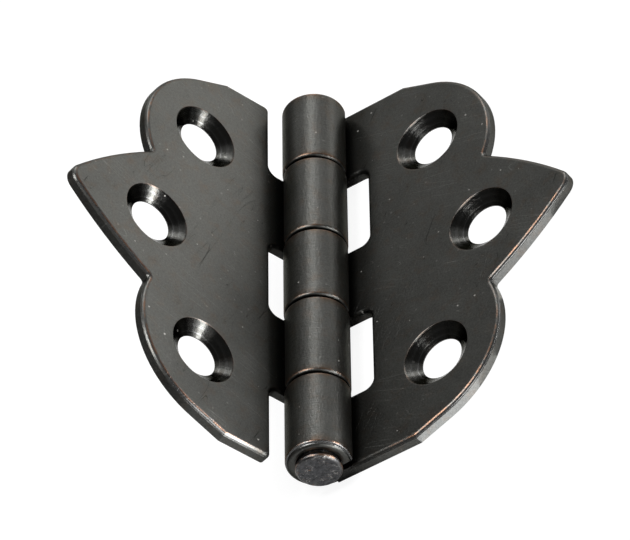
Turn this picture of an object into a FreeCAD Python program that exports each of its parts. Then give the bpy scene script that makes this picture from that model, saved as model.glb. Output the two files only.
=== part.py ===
# Butterfly hinge: two stamped leaves with knuckles rolled from the sheet, turning on one pin.
# The right leaf lies flat on its back and the left leaf is folded up towards the barrel's side.
# X points along the right leaf, away from the pin. Y runs along the pin. Z = 0 is the right leaf's back.
import FreeCAD
import Part
import Sketcher

import math
import os

from FreeCAD import Vector

# Driving sizes in millimetres and degrees. A reach is measured from the pin's axis along a leaf,
# and a height along the pin from the hinge's middle.
SIZES = {
    "sheet_thickness": "1.25",
    "fold_angle": "75",
    "barrel_length": "50.2",
    "left_knuckle_length": "10.45",
    "knuckle_gap": "0.15",
    "knuckle_edge_round": "0.4",
    "bore_edge_round": "0.2",
    "roll_end_gap": "0.75",
    "pin_diameter": "4.34",
    "pin_clearance": "0.03",
    "pin_neck_length": "0.1",
    "pin_head_diameter": "4.85",
    "pin_head_round": "0.4",
    "pin_stand_out": "1",
    "shoulder_reach": "10.2",
    "lobe_radius": "11",
    "lobe_centre_reach": "9.9",
    "lobe_inset": "0.7",
    "notch_height": "9",
    "notch_round": "0.5",
    "wing_radius": "50",
    "tip_reach": "29.9",
    "tip_round": "1.7",
    "rim_round": "0.45",
    "left_slot_reach": "4.4",
    "right_slot_reach": "5.25",
    "slot_round": "1.1",
    "corner_round": "0.6",
    "screw_hole_diameter": "4.8",
    "countersink_diameter": "7.8",
    "screw_hole_land": "0.1",
    "outer_hole_reach": "13.1",
    "outer_hole_spacing": "30.6",
    "middle_hole_reach": "19.3",
}

# Sizes that follow from the driving ones, written for the model's expressions.
BORE_RADIUS = "(sizes.pin_diameter / 2 + sizes.pin_clearance)"
BARREL_RADIUS = f"({BORE_RADIUS} + sizes.sheet_thickness)"
RIGHT_KNUCKLE_LENGTH = (
    "((sizes.barrel_length - 2 * sizes.left_knuckle_length - 4 * sizes.knuckle_gap) / 3)"
)
LOBE_CENTRE_HEIGHT = "(sizes.barrel_length / 2 - sizes.lobe_inset - sizes.lobe_radius)"
COUNTERSINK_DEPTH = "(sizes.sheet_thickness - sizes.screw_hole_land)"
COUNTERSINK_WIDTH = "((sizes.countersink_diameter - sizes.screw_hole_diameter) / 2)"

# The pin's axis is lifted clear of the floor, and the left leaf is turned about it.
LIFT = f"vector(0; 0; {BARREL_RADIUS})"
FLAT = f"placement({LIFT}; rotation(vector(0; 1; 0); 0))"
TURN = "rotation(vector(0; 1; 0); sizes.fold_angle) * rotation(vector(0; 0; 1); 180)"
FOLDED = f"placement({LIFT}; {TURN})"

SAME_POINT = 1e-4


def make_sheet(doc):
    sheet = doc.addObject("Spreadsheet::Sheet", "sizes")
    for row, (name, value) in enumerate(SIZES.items(), start=1):
        sheet.set(f"A{row}", name)
        sheet.set(f"B{row}", value)
        sheet.setAlias(f"B{row}", name)
    doc.recompute()
    return sheet


def read(sheet, expression):
    # The number that an expression on the sheet gives, for placing geometry before it is constrained.
    return float(sheet.evalExpression(expression))


def new_sketch(body, role, name, lift=None):
    # A sketch on one of the body's origin planes, raised along the plane's normal by an expression.
    plane = next(f for f in body.Origin.OriginFeatures if f.Role == role)
    sketch = body.newObject("Sketcher::SketchObject", name)
    sketch.AttachmentSupport = [(plane, "")]
    sketch.MapMode = "FlatFace"
    if lift:
        sketch.setExpression("AttachmentOffset.Base.z", lift)
    return sketch


def dimension(sketch, sheet, expression, kind, *where):
    # A driving dimension, bound to the sheet.
    value = read(sheet, expression)
    index = sketch.addConstraint(Sketcher.Constraint(kind, *where, value))
    sketch.setExpression(f"Constraints[{index}]", expression)


def join(sketch, *pairs):
    for first, first_end, second, second_end in pairs:
        sketch.addConstraint(Sketcher.Constraint("Coincident", first, first_end, second, second_end))


def arc(centre, radius, start, end):
    # An arc drawn counterclockwise from the start point to the end point.
    first = math.atan2(start.y - centre.y, start.x - centre.x)
    last = math.atan2(end.y - centre.y, end.x - centre.x)
    circle = Part.Circle(centre, Vector(0, 0, 1), radius)
    return Part.ArcOfCircle(circle, first, last)


def tangent_point(corner, centre, radius):
    # Where the line from the corner touches the circle, on the side away from the pin.
    away = corner - centre
    turn = math.acos(radius / away.Length)
    angle = math.atan2(away.y, away.x) - turn
    return centre + Vector(math.cos(angle), math.sin(angle)) * radius


def wing_centre(notch, tip_centre, wing_radius, tip_round):
    # The wing's arc passes through the notch and touches the tip's round from outside.
    chord = tip_centre - notch
    inner = wing_radius - tip_round
    along = (chord.Length ** 2 + wing_radius ** 2 - inner ** 2) / (2 * chord.Length)
    across = math.sqrt(wing_radius ** 2 - along ** 2)
    unit = chord / chord.Length
    return notch + unit * along + Vector(unit.y, -unit.x) * across


def draw_half_outline(sketch, sheet):
    # Half a leaf, from the middle line to one end: end edge, shoulder, lobe, notch, wing and tip.
    def at(reach, height):
        return Vector(read(sheet, reach), read(sheet, height), 0)

    lobe_radius = read(sheet, "sizes.lobe_radius")
    wing_radius = read(sheet, "sizes.wing_radius")
    tip_round = read(sheet, "sizes.tip_round")
    end = at("0", "sizes.barrel_length / 2")
    shoulder = at("sizes.shoulder_reach", "sizes.barrel_length / 2")
    lobe_centre = at("sizes.lobe_centre_reach", LOBE_CENTRE_HEIGHT)
    lobe_start = tangent_point(shoulder, lobe_centre, lobe_radius)
    drop = read(sheet, f"sizes.notch_height - {LOBE_CENTRE_HEIGHT}")
    notch = lobe_centre + Vector(math.sqrt(lobe_radius ** 2 - drop ** 2), drop)
    tip = at("sizes.tip_reach", "0")
    tip_centre = tip - Vector(tip_round, 0)
    centre = wing_centre(notch, tip_centre, wing_radius, tip_round)
    tip_start = centre + (tip_centre - centre) * (wing_radius / (wing_radius - tip_round))

    start = Vector(0, 0, 0)
    geometry = [
        Part.LineSegment(start, end),
        Part.LineSegment(end, shoulder),
        Part.LineSegment(shoulder, lobe_start),
        arc(lobe_centre, lobe_radius, notch, lobe_start),
        arc(centre, wing_radius, tip_start, notch),
        arc(tip_centre, tip_round, tip, tip_start),
        Part.LineSegment(tip, start),
    ]
    barrel_side, end_edge, slope, lobe, wing, tip_arc, middle = sketch.addGeometry(geometry, False)
    join(
        sketch,
        (barrel_side, 1, -1, 1),
        (barrel_side, 2, end_edge, 1),
        (end_edge, 2, slope, 1),
        (lobe, 1, wing, 2),
        (tip_arc, 1, middle, 1),
        (middle, 2, barrel_side, 1),
    )
    sketch.addConstraint(Sketcher.Constraint("Tangent", slope, 2, lobe, 2))
    sketch.addConstraint(Sketcher.Constraint("Tangent", wing, 1, tip_arc, 2))
    sketch.addConstraint(Sketcher.Constraint("Vertical", barrel_side))
    sketch.addConstraint(Sketcher.Constraint("Horizontal", end_edge))
    sketch.addConstraint(Sketcher.Constraint("Horizontal", middle))
    sketch.addConstraint(Sketcher.Constraint("PointOnObject", tip_arc, 3, -1))
    dimension(sketch, sheet, "sizes.barrel_length / 2", "DistanceY", -1, 1, barrel_side, 2)
    dimension(sketch, sheet, "sizes.shoulder_reach", "DistanceX", -1, 1, end_edge, 2)
    dimension(sketch, sheet, "sizes.lobe_centre_reach", "DistanceX", -1, 1, lobe, 3)
    dimension(sketch, sheet, LOBE_CENTRE_HEIGHT, "DistanceY", -1, 1, lobe, 3)
    dimension(sketch, sheet, "sizes.lobe_radius", "Radius", lobe)
    dimension(sketch, sheet, "sizes.notch_height", "DistanceY", -1, 1, lobe, 1)
    dimension(sketch, sheet, "sizes.wing_radius", "Radius", wing)
    dimension(sketch, sheet, "sizes.tip_round", "Radius", tip_arc)
    dimension(sketch, sheet, "sizes.tip_reach", "DistanceX", -1, 1, tip_arc, 1)


def sketch_circle(sketch, centre, radius):
    return sketch.addGeometry(Part.Circle(centre, Vector(0, 0, 1), radius), False)


def draw_box(sketch, sheet, left, right, low, high):
    # A rectangle between two reaches and two heights, all given as expressions.
    def at(reach, height):
        return Vector(read(sheet, reach), read(sheet, height), 0)

    corners = [at(left, low), at(right, low), at(right, high), at(left, high)]
    sides = [Part.LineSegment(a, b) for a, b in zip(corners, corners[1:] + corners[:1])]
    bottom, outer, top, inner = sketch.addGeometry(sides, False)
    join(sketch, (bottom, 2, outer, 1), (outer, 2, top, 1), (top, 2, inner, 1), (inner, 2, bottom, 1))
    for side in (bottom, top):
        sketch.addConstraint(Sketcher.Constraint("Horizontal", side))
    for side in (outer, inner):
        sketch.addConstraint(Sketcher.Constraint("Vertical", side))
    dimension(sketch, sheet, left, "DistanceX", -1, 1, bottom, 1)
    dimension(sketch, sheet, right, "DistanceX", -1, 1, top, 1)
    dimension(sketch, sheet, low, "DistanceY", -1, 1, bottom, 1)
    dimension(sketch, sheet, high, "DistanceY", -1, 1, top, 1)
    return bottom, outer, top, inner


def draw_knuckle(sketch, sheet, low, high):
    # One knuckle's wall, cut through lengthwise, with its outer and inner edges rounded.
    inside = read(sheet, BORE_RADIUS)
    outside = read(sheet, BARREL_RADIUS)
    bottom_at = read(sheet, low)
    top_at = read(sheet, high)
    outer_round = read(sheet, "sizes.knuckle_edge_round")
    inner_round = read(sheet, "sizes.bore_edge_round")
    bottom_ends = [Vector(inside + inner_round, bottom_at), Vector(outside - outer_round, bottom_at)]
    outer_ends = [Vector(outside, bottom_at + outer_round), Vector(outside, top_at - outer_round)]
    top_ends = [Vector(outside - outer_round, top_at), Vector(inside + inner_round, top_at)]
    inner_ends = [Vector(inside, top_at - inner_round), Vector(inside, bottom_at + inner_round)]
    sides = [bottom_ends, outer_ends, top_ends, inner_ends]
    corners = [
        (Vector(outside - outer_round, bottom_at + outer_round), outer_round),
        (Vector(outside - outer_round, top_at - outer_round), outer_round),
        (Vector(inside + inner_round, top_at - inner_round), inner_round),
        (Vector(inside + inner_round, bottom_at + inner_round), inner_round),
    ]
    geometry = []
    for side, following, (centre, rounding) in zip(sides, sides[1:] + sides[:1], corners):
        geometry.append(Part.LineSegment(*side))
        geometry.append(arc(centre, rounding, side[1], following[0]))
    loop = sketch.addGeometry(geometry, False)
    for first, second in zip(loop, loop[1:] + loop[:1]):
        sketch.addConstraint(Sketcher.Constraint("Tangent", first, 2, second, 1))
    bottom, low_outer, outer, high_outer, top, high_inner, inner, low_inner = loop
    for side in (bottom, top):
        sketch.addConstraint(Sketcher.Constraint("Horizontal", side))
    for side in (outer, inner):
        sketch.addConstraint(Sketcher.Constraint("Vertical", side))
    dimension(sketch, sheet, BORE_RADIUS, "DistanceX", -1, 1, inner, 1)
    dimension(sketch, sheet, BARREL_RADIUS, "DistanceX", -1, 1, outer, 1)
    dimension(sketch, sheet, low, "DistanceY", -1, 1, bottom, 1)
    dimension(sketch, sheet, high, "DistanceY", -1, 1, top, 1)
    for rounding in (low_outer, high_outer):
        dimension(sketch, sheet, "sizes.knuckle_edge_round", "Radius", rounding)
    for rounding in (high_inner, low_inner):
        dimension(sketch, sheet, "sizes.bore_edge_round", "Radius", rounding)


def upright_edges(shape, points):
    # The names of the edges that stand upright at the given points of the outline.
    names = []
    for number, edge in enumerate(shape.Edges, start=1):
        ends = [vertex.Point for vertex in edge.Vertexes]
        if len(ends) != 2 or (ends[0] - ends[1]).cross(Vector(0, 0, 1)).Length > SAME_POINT:
            continue
        flat = Vector(ends[0].x, ends[0].y, 0)
        if any((flat - point).Length < SAME_POINT for point in points):
            names.append(f"Edge{number}")
    return names


def front_rim_edges(shape, sheet):
    # The names of the edges round the leaf's front, all but those along the pin.
    top = read(sheet, f"-{BORE_RADIUS}")
    names = []
    for number, edge in enumerate(shape.Edges, start=1):
        ends = [vertex.Point for vertex in edge.Vertexes]
        in_front = all(abs(end.z - top) < SAME_POINT for end in ends)
        if in_front and any(end.x > SAME_POINT for end in ends):
            names.append(f"Edge{number}")
    return names


def round_edges(body, base, names, radius, label):
    fillet = body.newObject("PartDesign::Fillet", label)
    fillet.Base = (base, names)
    fillet.setExpression("Radius", radius)
    return fillet


def mirror_half(body, half, label):
    # The other half, mirrored at the hinge's middle.
    middle = next(f for f in body.Origin.OriginFeatures if f.Role == "XZ_Plane")
    whole = body.newObject("PartDesign::Mirrored", label)
    whole.Originals = [half]
    whole.MirrorPlane = (middle, [""])
    body.Tip = whole
    body.Document.recompute()


def add_plate(body, sheet):
    # The flat of the leaf, drawn as one half and mirrored.
    outline = new_sketch(body, "XY_Plane", f"{body.Name}_outline", f"-{BARREL_RADIUS}")
    draw_half_outline(outline, sheet)
    half = body.newObject("PartDesign::Pad", f"{body.Name}_half")
    half.Profile = outline
    half.setExpression("Length", "sizes.sheet_thickness")
    body.Document.recompute()
    mirror_half(body, half, f"{body.Name}_plate")


def cut_slots(body, sheet, reach, rows):
    # Room for the other leaf's knuckles, with rounded corners. The notches and the front rim follow.
    doc = body.Document
    rectangles = new_sketch(body, "XY_Plane", f"{body.Name}_slot_outlines")
    for low, high in rows:
        draw_box(rectangles, sheet, f"-{BARREL_RADIUS}", reach, low, high)
    slots = body.newObject("PartDesign::Pocket", f"{body.Name}_slots")
    slots.Profile = rectangles
    slots.Type = "ThroughAll"
    doc.recompute()
    half_length = read(sheet, "sizes.barrel_length / 2")
    heights = [read(sheet, height) for row in rows for height in row]
    corners = [Vector(read(sheet, reach), height, 0) for height in heights]
    outer = [corner for corner in corners if abs(corner.y) > half_length - SAME_POINT]
    inner = [corner for corner in corners if corner not in outer]
    slot_edges = upright_edges(slots.Shape, inner)
    rounded = round_edges(body, slots, slot_edges, "sizes.slot_round", f"{body.Name}_slot_corners")
    doc.recompute()
    if outer:
        corner_edges = upright_edges(rounded.Shape, outer)
        rounded = round_edges(body, rounded, corner_edges, "sizes.corner_round", f"{body.Name}_corners")
        doc.recompute()
    drop = read(sheet, f"sizes.notch_height - {LOBE_CENTRE_HEIGHT}")
    span = math.sqrt(read(sheet, "sizes.lobe_radius") ** 2 - drop ** 2)
    notch_reach = read(sheet, "sizes.lobe_centre_reach") + span
    notch_height = read(sheet, "sizes.notch_height")
    notches = [Vector(notch_reach, side * notch_height, 0) for side in (1, -1)]
    notch_edges = upright_edges(rounded.Shape, notches)
    notched = round_edges(body, rounded, notch_edges, "sizes.notch_round", f"{body.Name}_notches")
    doc.recompute()
    rim_edges = front_rim_edges(notched.Shape, sheet)
    round_edges(body, notched, rim_edges, "sizes.rim_round", f"{body.Name}_rim")
    doc.recompute()


def drill_screw_holes(body, sheet):
    # Three countersunk holes in a triangle: two in the lobes and one in the wing.
    doc = body.Document
    top = f"-{BORE_RADIUS}"
    centres = new_sketch(body, "XY_Plane", f"{body.Name}_hole_centres", top)
    places = (
        ("sizes.outer_hole_reach", "sizes.outer_hole_spacing / 2"),
        ("sizes.middle_hole_reach", "0"),
        ("sizes.outer_hole_reach", "-sizes.outer_hole_spacing / 2"),
    )
    for reach, height in places:
        centre = Vector(read(sheet, reach), read(sheet, height), 0)
        radius = read(sheet, "sizes.screw_hole_diameter / 2")
        circle = sketch_circle(centres, centre, radius)
        dimension(centres, sheet, reach, "DistanceX", -1, 1, circle, 3)
        dimension(centres, sheet, height, "DistanceY", -1, 1, circle, 3)
        dimension(centres, sheet, "sizes.screw_hole_diameter / 2", "Radius", circle)
    doc.recompute()
    holes = body.newObject("PartDesign::Hole", f"{body.Name}_screw_holes")
    holes.Profile = centres
    doc.recompute()
    holes.DepthType = "ThroughAll"
    holes.setExpression("Diameter", "sizes.screw_hole_diameter")
    holes.HoleCutType = "Countersink"
    holes.HoleCutCustomValues = True
    holes.setExpression("HoleCutDiameter", "sizes.countersink_diameter")
    cone = f"2 * atan({COUNTERSINK_WIDTH} / {COUNTERSINK_DEPTH})"
    holes.setExpression("HoleCutCountersinkAngle", cone)
    doc.recompute()


def roll_knuckles(body, sheet, rows):
    # The sheet rolls round the pin and ends a little above the leaf, with its end face parallel to it.
    doc = body.Document
    walls = new_sketch(body, "XY_Plane", f"{body.Name}_knuckle_walls")
    for low, high in rows:
        draw_knuckle(walls, sheet, low, high)
    roll = body.newObject("PartDesign::Revolution", f"{body.Name}_knuckles")
    roll.Profile = walls
    roll.ReferenceAxis = (walls, ["V_Axis"])
    doc.recompute()
    opening = new_sketch(body, "XZ_Plane", f"{body.Name}_roll_opening")
    low = f"-{BORE_RADIUS}"
    draw_box(opening, sheet, "0", BARREL_RADIUS, low, f"{low} + sizes.roll_end_gap")
    gap = body.newObject("PartDesign::Pocket", f"{body.Name}_roll_gap")
    gap.Profile = opening
    gap.Type = "ThroughAll"
    gap.Midplane = True
    doc.recompute()


def make_leaf(doc, sheet, name, slot_reach, slot_rows, knuckle_rows, placement):
    # A leaf is modelled about the pin's axis, reaching along X, and then placed.
    body = doc.addObject("PartDesign::Body", name)
    body.Label = name
    add_plate(body, sheet)
    cut_slots(body, sheet, slot_reach, slot_rows)
    drill_screw_holes(body, sheet)
    roll_knuckles(body, sheet, knuckle_rows)
    body.setExpression("Placement", placement)
    return body


def draw_half_pin(sketch, sheet):
    # Half the pin's length, cut through lengthwise: the rod, and its end spread to a rounded head.
    def at(reach, height):
        return Vector(read(sheet, reach), read(sheet, height), 0)

    rod_radius = "sizes.pin_diameter / 2"
    head_radius = "sizes.pin_head_diameter / 2"
    neck_height = "sizes.barrel_length / 2 + sizes.pin_neck_length"
    end_height = "sizes.barrel_length / 2 + sizes.pin_stand_out"
    rim = at(head_radius, f"{end_height} - sizes.pin_head_round")
    rim_centre = at(f"{head_radius} - sizes.pin_head_round", f"{end_height} - sizes.pin_head_round")
    face_edge = at(f"{head_radius} - sizes.pin_head_round", end_height)
    geometry = [
        Part.LineSegment(at("0", "0"), at(rod_radius, "0")),
        Part.LineSegment(at(rod_radius, "0"), at(rod_radius, neck_height)),
        Part.LineSegment(at(rod_radius, neck_height), rim),
        arc(rim_centre, read(sheet, "sizes.pin_head_round"), rim, face_edge),
        Part.LineSegment(face_edge, at("0", end_height)),
        Part.LineSegment(at("0", end_height), at("0", "0")),
    ]
    middle, rod, spread, rim_arc, face, axis = sketch.addGeometry(geometry, False)
    join(
        sketch,
        (middle, 1, -1, 1),
        (middle, 2, rod, 1),
        (rod, 2, spread, 1),
        (spread, 2, rim_arc, 1),
        (face, 2, axis, 1),
        (axis, 2, middle, 1),
    )
    sketch.addConstraint(Sketcher.Constraint("Tangent", rim_arc, 2, face, 1))
    sketch.addConstraint(Sketcher.Constraint("Horizontal", rim_arc, 3, rim_arc, 1))
    for side in (middle, face):
        sketch.addConstraint(Sketcher.Constraint("Horizontal", side))
    for side in (rod, axis):
        sketch.addConstraint(Sketcher.Constraint("Vertical", side))
    dimension(sketch, sheet, rod_radius, "DistanceX", -1, 1, rod, 1)
    dimension(sketch, sheet, neck_height, "DistanceY", -1, 1, rod, 2)
    dimension(sketch, sheet, head_radius, "DistanceX", -1, 1, rim_arc, 1)
    dimension(sketch, sheet, "sizes.pin_head_round", "Radius", rim_arc)
    dimension(sketch, sheet, end_height, "DistanceY", -1, 1, face, 2)


def make_pin(doc, sheet):
    # A plain rod, both ends of it spread a little wider than the bore so that it stays in.
    body = doc.addObject("PartDesign::Body", "pin")
    body.Label = "pin"
    profile = new_sketch(body, "XY_Plane", "pin_profile")
    draw_half_pin(profile, sheet)
    half = body.newObject("PartDesign::Revolution", "pin_half")
    half.Profile = profile
    half.ReferenceAxis = (profile, ["V_Axis"])
    doc.recompute()
    mirror_half(body, half, "pin_whole")
    body.setExpression("Placement", FLAT)
    return body


def knuckle_rows():
    # Where each knuckle begins and ends along the pin, for the right leaf's three and the left leaf's two.
    middle = f"{RIGHT_KNUCKLE_LENGTH} / 2"
    left_low = f"({middle} + sizes.knuckle_gap)"
    left_high = f"({left_low} + sizes.left_knuckle_length)"
    right_low = f"({left_high} + sizes.knuckle_gap)"
    end = "sizes.barrel_length / 2"
    right = [(right_low, end), (f"-{middle}", middle), (f"-{end}", f"-{right_low}")]
    left = [(left_low, left_high), (f"-{left_high}", f"-{left_low}")]
    right_slots = [(middle, right_low), (f"-{right_low}", f"-{middle}")]
    left_slots = [(left_high, end), (f"-{left_low}", left_low), (f"-{end}", f"-{left_high}")]
    return right, left, right_slots, left_slots


def check(doc, bodies):
    for item in doc.Objects:
        if {"Invalid", "Error"} & set(item.State):
            raise RuntimeError(f"{item.Label} failed: {item.State}")
    for body in bodies:
        if body.Shape.isNull() or not body.Shape.isValid() or len(body.Shape.Solids) != 1:
            raise RuntimeError(f"{body.Label} has no sound solid")


def main():
    doc = FreeCAD.newDocument("butterfly_hinge")
    sheet = make_sheet(doc)
    right_rows, left_rows, right_slots, left_slots = knuckle_rows()
    right_reach = "sizes.right_slot_reach"
    left_reach = "sizes.left_slot_reach"
    bodies = [
        make_leaf(doc, sheet, "right_leaf", right_reach, right_slots, right_rows, FLAT),
        make_leaf(doc, sheet, "left_leaf", left_reach, left_slots, left_rows, FOLDED),
        make_pin(doc, sheet),
    ]
    doc.recompute()
    check(doc, bodies)
    os.makedirs("parts", exist_ok=True)
    for body in bodies:
        body.Shape.exportStep(f"parts/{body.Label}.step")
        print(f"{body.Label}: {body.Shape.Volume:.1f} mm3")


main()
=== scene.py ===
import math
import bpy
import bmesh
from mathutils import Matrix, Vector

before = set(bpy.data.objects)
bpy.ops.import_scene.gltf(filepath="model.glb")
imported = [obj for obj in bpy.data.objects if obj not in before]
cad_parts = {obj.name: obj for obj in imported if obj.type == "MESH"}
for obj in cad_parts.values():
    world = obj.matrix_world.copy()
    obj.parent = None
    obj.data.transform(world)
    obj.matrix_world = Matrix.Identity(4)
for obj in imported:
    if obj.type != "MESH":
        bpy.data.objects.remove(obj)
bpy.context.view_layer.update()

# Butterfly hinge in a satin bronze-black finish, lying on a pale table.
print("hinge loaded:", sorted(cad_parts))

pinAxisHeight = 0.00345   # metres above the table, the line that the leaves swing about
foldAngle = math.radians(75)   # the left leaf is raised this far from lying flat
millimetre = 0.001


# small node helpers
def addNode(tree, kind, settings=None, **sockets):
    made = tree.nodes.new("ShaderNode" + kind)
    for name, value in (settings or {}).items():
        setattr(made, name, value)
    for name, value in sockets.items():
        feed(tree, made.inputs[name], value)
    return made


def feed(tree, socket, value):
    if isinstance(value, bpy.types.NodeSocket):
        tree.links.new(value, socket)
    elif value is not None:
        socket.default_value = value


def calc(tree, operation, first, second=None, third=None):
    made = addNode(tree, "Math", {"operation": operation})
    for socket, value in zip(made.inputs, (first, second, third)):
        feed(tree, socket, value)
    return made.outputs[0]


def times(tree, first, *others):
    for other in others:
        first = calc(tree, "MULTIPLY", first, other)
    return first


def lift(tree, base, mask, amount):   # base, plus the amount where the mask is 1
    return calc(tree, "MULTIPLY_ADD", mask, amount, base)


def darken(tree, shade, mask, amount):   # amounts are below 0
    return times(tree, shade, lift(tree, 1.0, mask, amount))


def pick(tree, operation, values):   # MINIMUM or MAXIMUM of several
    chosen = values[0]
    for value in values[1:]:
        chosen = calc(tree, operation, chosen, value)
    return chosen


def vectorCalc(tree, operation, first, second=None, out="Vector"):
    made = addNode(tree, "VectorMath", {"operation": operation})
    feed(tree, made.inputs[0], first)
    feed(tree, made.inputs["Scale" if operation == "SCALE" else 1], second)
    return made.outputs[out]


def joinAxes(tree, **axes):
    return addNode(tree, "CombineXYZ", **axes).outputs[0]


def fade(tree, value, start, end):   # 0 at start, 1 at end, smooth between them
    made = addNode(tree, "MapRange", {"interpolation_type": "SMOOTHSTEP"})
    for name, number in (("Value", value), ("From Min", start), ("From Max", end)):
        feed(tree, made.inputs[name], number)
    return made.outputs["Result"]


def band(tree, value, low, high, soft):   # 1 between low and high
    rise = fade(tree, value, low - soft, low + soft)
    return times(tree, rise, fade(tree, value, high + soft, high - soft))


def noise(tree, place, scale, detail=2.0, roughness=0.5, stretch=None):
    if stretch:
        place = vectorCalc(tree, "MULTIPLY", place, stretch)
    made = addNode(tree, "TexNoise", Vector=place, Scale=scale, Detail=detail, Roughness=roughness)
    return made.outputs["Fac"]


def blendColour(tree, amount, under, over):
    made = addNode(tree, "Mix", {"data_type": "RGBA"})
    feed(tree, made.inputs["Factor"], amount)
    feed(tree, made.inputs[6], under)   # sockets 6 and 7 take the colours
    feed(tree, made.inputs[7], over)
    return made.outputs[2]


def newFinish(name):
    finish = bpy.data.materials.new(name)
    finish.use_nodes = True
    tree = finish.node_tree
    tree.nodes.clear()
    shader = addNode(tree, "BsdfPrincipled")
    output = addNode(tree, "OutputMaterial")
    tree.links.new(shader.outputs[0], output.inputs["Surface"])
    return finish, tree, shader


def setMetal(tree, shader, colour, rough, relief):   # relief in millimetres
    feed(tree, shader.inputs["Base Color"], colour)
    feed(tree, shader.inputs["Roughness"], rough)
    shader.inputs["Metallic"].default_value = 1.0
    bump = addNode(tree, "Bump", Strength=1.0, Distance=millimetre, Height=relief)
    feed(tree, shader.inputs["Normal"], bump.outputs[0])


# millimetres in a leaf's own directions, from the middle of the pin
def leafPlace(tree, along, across, out):
    place = addNode(tree, "TexCoord").outputs["Object"]
    place = vectorCalc(tree, "SUBTRACT", place, (0, 0, pinAxisHeight))
    place = vectorCalc(tree, "SCALE", place, 1 / millimetre)
    parts = [vectorCalc(tree, "DOT_PRODUCT", place, way, "Value") for way in (along, across, out)]
    return joinAxes(tree, X=parts[0], Y=parts[1], Z=parts[2]), parts


def facing(tree, way):   # how far a face looks one way, 1 straight at it, 0 side on
    normal = addNode(tree, "TexCoord").outputs["Normal"]
    return vectorCalc(tree, "DOT_PRODUCT", normal, way, "Value")


def scatter(tree, place, scale, size, share):   # small dots, one in some of the cells
    cells = addNode(tree, "TexVoronoi", {"voronoi_dimensions": "2D"}, Vector=place, Scale=scale)
    chosen = addNode(tree, "SeparateColor", Color=cells.outputs["Color"]).outputs
    reach = lift(tree, size / 2, chosen[1], size)
    dot = calc(tree, "LESS_THAN", cells.outputs["Distance"], reach)
    return times(tree, dot, calc(tree, "LESS_THAN", chosen[0], share))


noiseMiddle = 0.5
hairWidth = (0.007, 0.001)   # this near to its middle, the noise starts a scratch and has it full


def hairs(tree, place, angle, stretch, where):   # thin wandering scratches
    turned = addNode(tree, "Mapping", Vector=place, Rotation=(0, 0, angle)).outputs[0]
    field = noise(tree, turned, scale=1.0, detail=0.0, stretch=stretch)
    line = calc(tree, "ABSOLUTE", calc(tree, "SUBTRACT", field, noiseMiddle))
    return times(tree, fade(tree, line, *hairWidth), where)


# a leaf's sizes, mm from the middle of the pin
holeSpots = ((13.1, 15.3, 0), (13.1, -15.3, 0), (19.3, 0, 0))
sinkRadius = 3.9
barrelRadius = 3.45
sheetFront = -2.2   # height
knuckleEnds = (4.86, 15.46, 25.1)   # either way from the middle
crownRadius = 2.6   # outside it, the barrel's ends bow back

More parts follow.
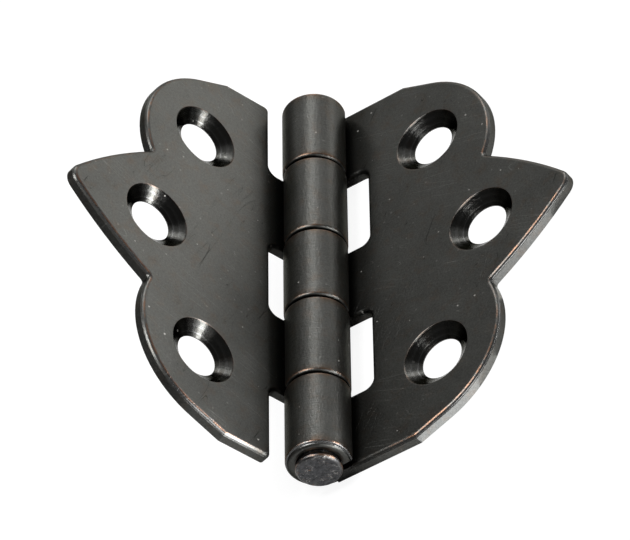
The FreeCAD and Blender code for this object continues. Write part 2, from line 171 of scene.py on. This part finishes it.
leafLook = {
    "black": (0.092, 0.0925, 0.087, 1),
    "brownCast": (0.100, 0.076, 0.058, 1),
    "copper": (0.34, 0.155, 0.075, 1),
    "polishAndSheen": (0.22, 0.22, 0.222, 1),
    "dust": (0.5, 0.49, 0.46, 1),
    "edgeTint": (0.45, 0.45, 0.43, 1),
    "wornWay": (0.45, -0.89, 0.1),   # rims that look this way are worn to copper the most
    "sheenAndRubWay": (0.7, -0.6, -0.3),   # and those that look this way are rubbed bright: wear, and partly a painted highlight
    # noises: scale to the millimetre, detail, roughness, stretch
    "clouds": (0.16, 3.0, 0.55),
    "patches": (0.8, 4.0, 0.6),
    "grain": (4.5, 4.0, 0.7),
    "swell": (0.3, 1.0),
    "turnLines": (1.0, 4.0, 0.7, (0.2, 8.0, 0.2)),
    "streaks": (1.0, 3.0, 0.65, (2.4, 0.9, 2.4)),
    "pebble": (3.4, 3.0, 0.6, (1.2, 0.8, 1.2)),
    "marks": (4.0, 3.0, 0.6),
    "wander": 0.12,   # how far a tool mark leaves its circle, mm
    # dots: cells to the millimetre, size, share of the cells
    "speck": (0.5, 0.04, 0.12),
    "fluff": (1.1, 0.1, 0.05),
    # scratches: turn, stretch
    "paleHair": (0.35, (0.09, 1.1, 0.3)),
    "darkHair": (-1.1, (0.1, 1.3, 0.3)),
    # masks by place: where each one starts and is full, or low, high and softness (mm)
    "barrelSkin": (barrelRadius + 0.3, barrelRadius + 0.05),
    "barrelFoot": (sheetFront + 0.1, sheetFront + 0.7),
    "besideSeam": (1.5, 0.3),
    "insideSink": (sinkRadius + 0.02, sinkRadius - 0.06),
    "outsideSink": (sinkRadius, sinkRadius + 0.1),
    "sinkRim": (sinkRadius - 0.1, sinkRadius + 0.06, 0.06),
    "plateHeight": (sheetFront + 0.1, sheetFront + 0.02),
    "plateReach": (6.0, 8.0),
    "aboveFront": (sheetFront, sheetFront + 0.2),
    "barrelEnd": (knuckleEnds[2] - 2.0, knuckleEnds[2] - 1.5),
    "besideBarrelShadeReach": (7.5, 3.6),
    "besideBarrelShadeHeight": (sheetFront + 0.3, sheetFront + 0.05),
    "cutHeight": (sheetFront + 0.1, sheetFront),
    # masks by the way that a face looks, in the same order
    "roundFacing": (0.6, 0.3),
    "sinkFacing": (0.1, 0.4),
    "wornFacing": (0.05, 0.5),
    "sheenAndRubFacing": (0.25, 0.65),
    "rimFacing": (0.3, 0.93, 0.06),
    "rimLineFacing": (0.8, 0.97, 0.03),
    "ringFacing": (0.25, 0.9, 0.08),
    "ringLineFacing": (0.12, 0.42, 0.06),
    "endFacing": (0.55, 0.85),
    "besideBarrelShadeFacing": (-0.3, 0.1),
    "cutFacing": (0.4, 0.15),
    # masks by a noise
    "ridgeNoise": (0.5, 0.66),
    "copperNoise": (0.36, 0.58),
    "paleNoise": (0.5, 0.58),
    "darkNoise": (0.5, 0.42),
    "castNoise": (0.48, 0.75),
    "brownNoise": (0.3, 0.7),
    # the least wear, and how much more the worn and the rubbed rims have; the rubbed rims' extra polish is
    # partly a painted highlight
    "worn": (0.1, 0.9),
    "rubbed": (0.15, 0.85),
    # how much of each colour is laid over the black
    "castShare": 0.4,
    "polishAndSheenShare": 0.45,
    "ridgeShare": 0.25,
    "hairShare": 0.12,
    "fluffShare": 0.12,
    "speckShare": 0.5,
    "rimCopper": 0.45,
    "sinkCopper": 0.06,
    "ringCopper": (0.22, 0.15),   # at every seam, and more at the barrel's ends
    # shade: the least and the spread of the noises, then how much each place darkens; beside the barrel, in
    # the countersinks and on the knuckle ends this darkening is painted shade
    "cloudShade": (0.8, 0.4),
    "grainShade": (0.45, 1.1),
    "besideBarrelShadeAmount": -0.5,
    "sinkPaintedShade": -0.6,
    "hairShade": -0.5,
    "ringPaintedShade": (-0.85, 0.55),   # painted shade in the seams, and less at the barrel's ends
    # roughness, and what each mask adds to it
    "roughness": 0.23,
    "grainRough": 0.12,
    "cloudRough": 0.1,
    "polishedRough": -0.08,
    "sinkRough": -0.19,
    "speckRough": 0.3,
    # relief in millimetres
    "grainRelief": 0.012,
    "streakRelief": 0.03,
    "pebbleRelief": 0.016,
    "crownRelief": -0.8,
    "swellRelief": 0.04,
    "turnRelief": 0.018,
    "markRelief": 0.02,
    "sinkRelief": 0.01,
    "sideRelief": 0.06,
    "rimRelief": -0.008,
    "hairRelief": -0.006,
}


def leafFinish(name, along, across, out):
    look = leafLook
    finish, tree, shader = newFinish(name)
    place, (reach, length, height) = leafPlace(tree, along, across, out)
    towardsFront = facing(tree, out)
    towardsEnd = calc(tree, "ABSOLUTE", facing(tree, across))
    fromMiddle = calc(tree, "ABSOLUTE", length)

    # plating: slow clouds, smaller patches and a fine grain
    clouds = noise(tree, place, *look["clouds"])
    patches = noise(tree, place, *look["patches"])
    grain = noise(tree, place, *look["grain"])
    swell = noise(tree, place, *look["swell"])

    # barrel: lines round it, and browning beside the seams
    turnLines = noise(tree, place, *look["turnLines"])
    streaks = noise(tree, place, *look["streaks"])
    pebble = noise(tree, place, *look["pebble"])
    spread = vectorCalc(tree, "LENGTH", joinAxes(tree, X=reach, Z=height), out="Value")
    onBarrel = times(tree, fade(tree, spread, *look["barrelSkin"]), fade(tree, height, *look["barrelFoot"]))
    gaps = [calc(tree, "SUBTRACT", fromMiddle, end) for end in knuckleEnds]
    toSeam = pick(tree, "MINIMUM", [calc(tree, "ABSOLUTE", gap) for gap in gaps])
    browned = times(tree, onBarrel, fade(tree, toSeam, *look["besideSeam"]),
                    fade(tree, towardsEnd, *look["roundFacing"]))

    # countersinks: tool marks round each hole and a softened rim, on the front only
    inPlane = joinAxes(tree, X=reach, Y=length)
    distances = [vectorCalc(tree, "DISTANCE", inPlane, spot, "Value") for spot in holeSpots]
    toHole = pick(tree, "MINIMUM", distances)
    fromFront = fade(tree, towardsFront, *look["sinkFacing"])
    onSink = times(tree, fade(tree, toHole, *look["insideSink"]), fromFront)
    sinkRim = times(tree, band(tree, toHole, *look["sinkRim"]), fromFront)
    wandering = lift(tree, toHole, patches, look["wander"])
    marks = noise(tree, joinAxes(tree, X=wandering), *look["marks"])
    ridges = times(tree, onSink, fade(tree, marks, *look["ridgeNoise"]))

    # the rounded front rim of the stamping
    onPlate = times(tree, fade(tree, height, *look["plateHeight"]), fade(tree, toHole, *look["outsideSink"]),
                    fade(tree, reach, *look["plateReach"]))
    leastWorn, wornSpread = look["worn"]
    # the rubbed rims are partly a painted highlight: those facing the right front get the most bright polish
    leastSheenAndRub, sheenAndRubSpread = look["rubbed"]
    wornSide = fade(tree, facing(tree, look["wornWay"]), *look["wornFacing"])
    sheenAndRubSide = fade(tree, facing(tree, look["sheenAndRubWay"]), *look["sheenAndRubFacing"])
    worn = lift(tree, leastWorn, wornSide, wornSpread)
    rubbed = lift(tree, leastSheenAndRub, sheenAndRubSide, sheenAndRubSpread)
    rim = times(tree, band(tree, towardsFront, *look["rimFacing"]), onPlate, rubbed)
    rimLine = times(tree, band(tree, towardsFront, *look["rimLineFacing"]), onPlate, worn)

    # the rounded ends of the knuckles
    aboveFront = fade(tree, height, *look["aboveFront"])
    atEnd = fade(tree, fromMiddle, *look["barrelEnd"])
    ringRound = times(tree, band(tree, towardsEnd, *look["ringFacing"]), aboveFront, atEnd)
    ringLine = times(tree, band(tree, towardsEnd, *look["ringLineFacing"]), aboveFront)
    ringFace = times(tree, fade(tree, towardsEnd, *look["endFacing"]), aboveFront)
    pastCrown = calc(tree, "MAXIMUM", calc(tree, "SUBTRACT", spread, crownRadius), 0.0)
    crown = times(tree, calc(tree, "POWER", pastCrown, 2.0), ringFace, atEnd)

    # copper shows through in broken lines, and edges are polished; on the rims facing the right front this
    # polish is partly a painted highlight
    seamCopper, endCopper = look["ringCopper"]
    ringCopper = times(tree, ringLine, lift(tree, seamCopper, atEnd, endCopper))
    rimCopper = times(tree, rimLine, look["rimCopper"])
    sinkCopper = times(tree, sinkRim, look["sinkCopper"])
    copper = times(tree, pick(tree, "MAXIMUM", [rimCopper, ringCopper, sinkCopper]),
                   fade(tree, patches, *look["copperNoise"]))
    polishAndSheen = calc(tree, "MAXIMUM", rim, ringRound)

    # dust, and scratches where the sheet is flat
    speck = scatter(tree, place, *look["speck"])
    fluff = scatter(tree, place, *look["fluff"])
    onFlat = calc(tree, "SUBTRACT", 1.0, calc(tree, "MAXIMUM", onSink, onBarrel))
    paleSpots = times(tree, fade(tree, clouds, *look["paleNoise"]), onFlat)
    darkSpots = times(tree, fade(tree, clouds, *look["darkNoise"]), onFlat)
    pale = hairs(tree, place, *look["paleHair"], paleSpots)
    dark = hairs(tree, place, *look["darkHair"], darkSpots)

    # painted shade beside the barrel, and the sheet's cut side
    besideBarrelShade = times(tree, fade(tree, reach, *look["besideBarrelShadeReach"]), fade(tree, height, *look["besideBarrelShadeHeight"]),
                 fade(tree, towardsFront, *look["besideBarrelShadeFacing"]))
    cutSide = times(tree, fade(tree, calc(tree, "ABSOLUTE", towardsFront), *look["cutFacing"]),
                    fade(tree, height, *look["cutHeight"]))

    # colour
    cast = calc(tree, "MAXIMUM", times(tree, fade(tree, patches, *look["castNoise"]), look["castShare"]),
                times(tree, browned, fade(tree, patches, *look["brownNoise"])))
    colour = blendColour(tree, cast, look["black"], look["brownCast"])
    leastCloud, cloudSpread = look["cloudShade"]
    leastGrain, grainSpread = look["grainShade"]
    seamPaintedShade, endPaintedShade = look["ringPaintedShade"]
    shade = times(tree, lift(tree, leastCloud, clouds, cloudSpread),
                  lift(tree, leastGrain, grain, grainSpread))
    # painted shade beside the barrel, on the plate and on the slot walls near it
    shade = darken(tree, shade, besideBarrelShade, look["besideBarrelShadeAmount"])
    # painted shade: the countersinks are painted darker
    shade = darken(tree, shade, onSink, look["sinkPaintedShade"])
    # painted shade on the knuckle end faces, deepest in the seams
    shade = darken(tree, shade, ringFace, lift(tree, seamPaintedShade, atEnd, endPaintedShade))
    shade = darken(tree, shade, dark, look["hairShade"])
    colour = vectorCalc(tree, "SCALE", colour, shade)
    colour = blendColour(tree, times(tree, polishAndSheen, look["polishAndSheenShare"]), colour, look["polishAndSheen"])
    colour = blendColour(tree, copper, colour, look["copper"])
    colour = blendColour(tree, times(tree, ridges, look["ridgeShare"]), colour, look["polishAndSheen"])
    for mask, share in ((pale, "hairShare"), (fluff, "fluffShare"), (speck, "speckShare")):
        colour = blendColour(tree, times(tree, mask, look[share]), colour, look["dust"])

    rough = lift(tree, look["roughness"], grain, look["grainRough"])
    for mask, amount in ((clouds, "cloudRough"), (polishAndSheen, "polishedRough"),
                         (onSink, "sinkRough"), (speck, "speckRough")):
        rough = lift(tree, rough, mask, look[amount])

    relief = times(tree, grain, look["grainRelief"])
    for shape, amount in (
            (times(tree, streaks, onBarrel), "streakRelief"),
            (times(tree, pebble, onBarrel), "pebbleRelief"),
            (crown, "crownRelief"),
            (swell, "swellRelief"),
            (times(tree, turnLines, onBarrel), "turnRelief"),
            (times(tree, marks, onSink), "markRelief"),
            (times(tree, pebble, onSink), "sinkRelief"),
            (times(tree, pebble, cutSide), "sideRelief"),
            (sinkRim, "rimRelief"),
            (calc(tree, "ADD", pale, dark), "hairRelief")):
        relief = lift(tree, relief, shape, look[amount])

    setMetal(tree, shader, colour, rough, relief)
    shader.inputs["Specular Tint"].default_value = look["edgeTint"]
    return finish


pinLook = {
    "grey": (0.064, 0.065, 0.068),
    "copper": (0.40, 0.21, 0.11, 1),
    "bright": (0.42, 0.41, 0.39, 1),
    # noises: scale to the millimetre, detail, roughness
    "patches": (1.1, 4.0, 0.6),
    "pits": (2.6, 4.0, 0.65),
    "grain": (7.0, 3.0, 0.65),
    "flakes": (3.2, 4.0, 0.75),
    "hair": (0.9, (0.5, 2.2, 1.0)),   # turn, stretch
    # masks by the way that a face looks (low, high, softness) and by a noise (start, full)
    "roundedFacing": (0.25, 0.95, 0.05),
    "copperFacing": (0.1, 0.55, 0.08),
    "copperNoise": (0.4, 0.6),
    "flakeNoise": (0.56, 0.62),
    "chipNoise": (0.42, 0.6),
    "hairNoise": (0.45, 0.6),
    "pitShade": (-0.35, 2.6),   # the least and the spread
    # how much of each colour is laid over the grey
    "roundedShare": 0.12,
    "copperShare": 0.45,
    "hairShare": 0.4,
    "chipShare": 0.5,
    # roughness, and what each mask adds to it
    "roughness": 0.28,
    "pitRough": 0.24,
    "roundedRough": -0.1,
    # relief in millimetres
    "grainRelief": 0.008,
    "pitRelief": 0.05,
    "chipRelief": 0.01,
}


def pinFinish(name):
    look = pinLook
    finish, tree, shader = newFinish(name)
    place, (reach, _, height) = leafPlace(tree, (1, 0, 0), (0, 1, 0), (0, 0, 1))
    face = joinAxes(tree, X=reach, Y=height)   # the pin's ends, seen square on
    towardsEnd = calc(tree, "ABSOLUTE", facing(tree, (0, 1, 0)))
    patches = noise(tree, place, *look["patches"])
    pits = noise(tree, place, *look["pits"])
    grain = noise(tree, place, *look["grain"])
    flakes = noise(tree, place, *look["flakes"])
    rounded = band(tree, towardsEnd, *look["roundedFacing"])
    copper = times(tree, band(tree, towardsEnd, *look["copperFacing"]),
                   fade(tree, patches, *look["copperNoise"]))
    chip = times(tree, fade(tree, flakes, *look["flakeNoise"]), fade(tree, patches, *look["chipNoise"]))
    rubbed = hairs(tree, face, *look["hair"], fade(tree, patches, *look["hairNoise"]))

    leastPit, pitSpread = look["pitShade"]
    colour = vectorCalc(tree, "SCALE", look["grey"], lift(tree, leastPit, pits, pitSpread))
    for mask, share, over in ((rounded, "roundedShare", "bright"), (copper, "copperShare", "copper"),
                              (rubbed, "hairShare", "copper"), (chip, "chipShare", "bright")):
        colour = blendColour(tree, times(tree, mask, look[share]), colour, look[over])
    rough = lift(tree, look["roughness"], pits, look["pitRough"])
    rough = lift(tree, rough, rounded, look["roundedRough"])
    relief = lift(tree, times(tree, grain, look["grainRelief"]), pits, look["pitRelief"])
    relief = lift(tree, relief, chip, look["chipRelief"])
    setMetal(tree, shader, colour, rough, relief)
    return finish


raisedAlong = (-math.cos(foldAngle), 0, math.sin(foldAngle))
raisedOut = (math.sin(foldAngle), 0, math.cos(foldAngle))
finishes = {
    "right_leaf": leafFinish("flatLeafBronze", (1, 0, 0), (0, 1, 0), (0, 0, 1)),
    "left_leaf": leafFinish("raisedLeafBronze", raisedAlong, (0, -1, 0), raisedOut),
    "pin": pinFinish("pinSteel"),
}
for nodeName, finish in finishes.items():
    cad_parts[nodeName].material_slots[0].material = finish
print("finishes:", [finish.name for finish in finishes.values()])


# The table is seen in the metal, with its shadows. The camera sees a bright sheet of paper in its place.
table = {"width": 6.0, "drop": 0.00003, "white": (0.85, 0.85, 0.85, 1), "roughness": 0.9, "glow": 0.0}
paper = {"width": 6.0, "drop": 0.00002, "white": (0.15, 0.15, 0.15, 1), "roughness": 0.9, "glow": 0.9}


def makeSheet(name, look):
    shape = bmesh.new()
    bmesh.ops.create_grid(shape, x_segments=1, y_segments=1, size=look["width"] / 2)
    bmesh.ops.translate(shape, verts=shape.verts, vec=(0, 0, -look["drop"]))
    mesh = bpy.data.meshes.new(name)
    shape.to_mesh(mesh)
    shape.free()
    sheet = bpy.data.objects.new(name, mesh)
    bpy.context.scene.collection.objects.link(sheet)
    finish, _, shader = newFinish(name + "White")
    shader.inputs["Base Color"].default_value = look["white"]
    shader.inputs["Roughness"].default_value = look["roughness"]
    shader.inputs["Emission Color"].default_value = (1, 1, 1, 1)
    shader.inputs["Emission Strength"].default_value = look["glow"]
    mesh.materials.append(finish)
    return sheet


tableTop = makeSheet("table", table)
tableTop.visible_camera = False
paperSheet = makeSheet("paper", paper)
paperSheet.visible_glossy = False
paperSheet.visible_diffuse = False
paperSheet.visible_shadow = False
print("table set")


# Soft boxes turned to the hinge: azimuth from +Y towards +X and elevation in degrees,
# distance, width and height in metres.
boxes = {
    "overhead": {"azimuth": 0, "elevation": 90, "distance": 1.5, "width": 0.7, "height": 0.7, "glow": 11.4},
    "backStrip": {"azimuth": 18, "elevation": 31, "distance": 1.2, "width": 0.22, "height": 0.73,
                  "glow": 6.0},
    "backPanel": {"azimuth": 38.5, "elevation": 21.8, "distance": 1.21, "width": 0.5, "height": 0.95,
                  "glow": 0.87},
    "farPanel": {"azimuth": -10, "elevation": 22, "distance": 1.2, "width": 0.78, "height": 0.55,
                 "glow": 1.34},
    "sideBox": {"azimuth": 137, "elevation": 10, "distance": 1.0, "width": 0.57, "height": 0.34,
                "glow": 5.0},
}
# bright cards that lie on the table, by their lowest and highest x and y (m)
plain = (1.0, 1.0, 1.0)
cool = (0.95, 0.96, 1.0)
warm = (1.0, 0.975, 0.96)
cards = {
    "frontCard": {"low": (0.042, -0.085), "high": (0.095, -0.003), "glow": 32.0, "colour": plain},
    "sinkCard": {"low": (0.044, -0.003), "high": (0.068, 0.012), "glow": 8.0, "colour": plain},
    "nearCard": {"low": (0.012, -0.08), "high": (0.045, -0.037), "glow": 8.0, "colour": plain},
    "lobeCard": {"low": (0.0103, -0.036), "high": (0.030, -0.0215), "glow": 4.5, "colour": cool},
    "lobeEndCard": {"low": (0.014, -0.0215), "high": (0.032, -0.0185), "glow": 1.6, "colour": plain},
    "wingCard": {"low": (0.017, -0.011), "high": (0.039, -0.0035), "glow": 2.2, "colour": cool},
    "backCard": {"low": (0.020, 0.030), "high": (0.045, 0.190), "glow": 1.65, "colour": warm},
    "farCard": {"low": (0.045, 0.030), "high": (0.170, 0.190), "glow": 0.55, "colour": warm},
}
cardDrop = 0.00001   # just above the paper
roomGrey = (0.16, 0.16, 0.16, 1)


def makeLamp(name, place, aim, width, height, glow, colour):
    lamp = bpy.data.lights.new(name, "AREA")
    lamp.shape = "RECTANGLE"
    lamp.size = width
    lamp.size_y = height
    lamp.energy = glow * math.pi * width * height
    lamp.color = colour
    holder = bpy.data.objects.new(name, lamp)
    holder.location = place
    holder.rotation_euler = (Vector(aim) - Vector(place)).to_track_quat("-Z", "Y").to_euler()
    holder.visible_camera = False
    bpy.context.scene.collection.objects.link(holder)


def setLights():
    for name, box in boxes.items():
        azimuth, elevation = math.radians(box["azimuth"]), math.radians(box["elevation"])
        level = math.cos(elevation)
        way = Vector((math.sin(azimuth) * level, math.cos(azimuth) * level, math.sin(elevation)))
        makeLamp(name, way * box["distance"], (0, 0, 0), box["width"], box["height"], box["glow"], plain)
    for name, card in cards.items():
        low, high = Vector(card["low"]), Vector(card["high"])
        middle, size = (low + high) / 2, high - low
        place = (middle.x, middle.y, -cardDrop)
        makeLamp(name, place, (middle.x, middle.y, 1), size.x, size.y, card["glow"], card["colour"])
    room = bpy.data.worlds.new("room")
    room.use_nodes = True
    room.node_tree.nodes["Background"].inputs["Color"].default_value = roomGrey
    bpy.context.scene.world = room


setLights()
print("lights set:", list(boxes), list(cards))


# the photograph's viewpoint
camera = {
    "place": (0.191545, -0.313161, 0.273923),
    "target": (-0.00014, 0.00198, 0.00345),
    "roll": -46.64,
    "lens": 249.24,
    "sensor": 36.0,
    "clip": 0.01,
}


def setCamera():
    data = bpy.data.cameras.new("photoView")
    data.sensor_fit = "HORIZONTAL"
    data.sensor_width = camera["sensor"]
    data.lens = camera["lens"]
    data.clip_start = camera["clip"]
    holder = bpy.data.objects.new("photoView", data)
    place = Vector(camera["place"])
    aim = (Vector(camera["target"]) - place).to_track_quat("-Z", "Y").to_matrix()
    turned = aim @ Matrix.Rotation(math.radians(camera["roll"]), 3, "Z")
    holder.matrix_world = Matrix.Translation(place) @ turned.to_4x4()
    bpy.context.scene.collection.objects.link(holder)
    bpy.context.scene.camera = holder
    bpy.context.scene.view_settings.view_transform = "Standard"


setCamera()
print("camera set")
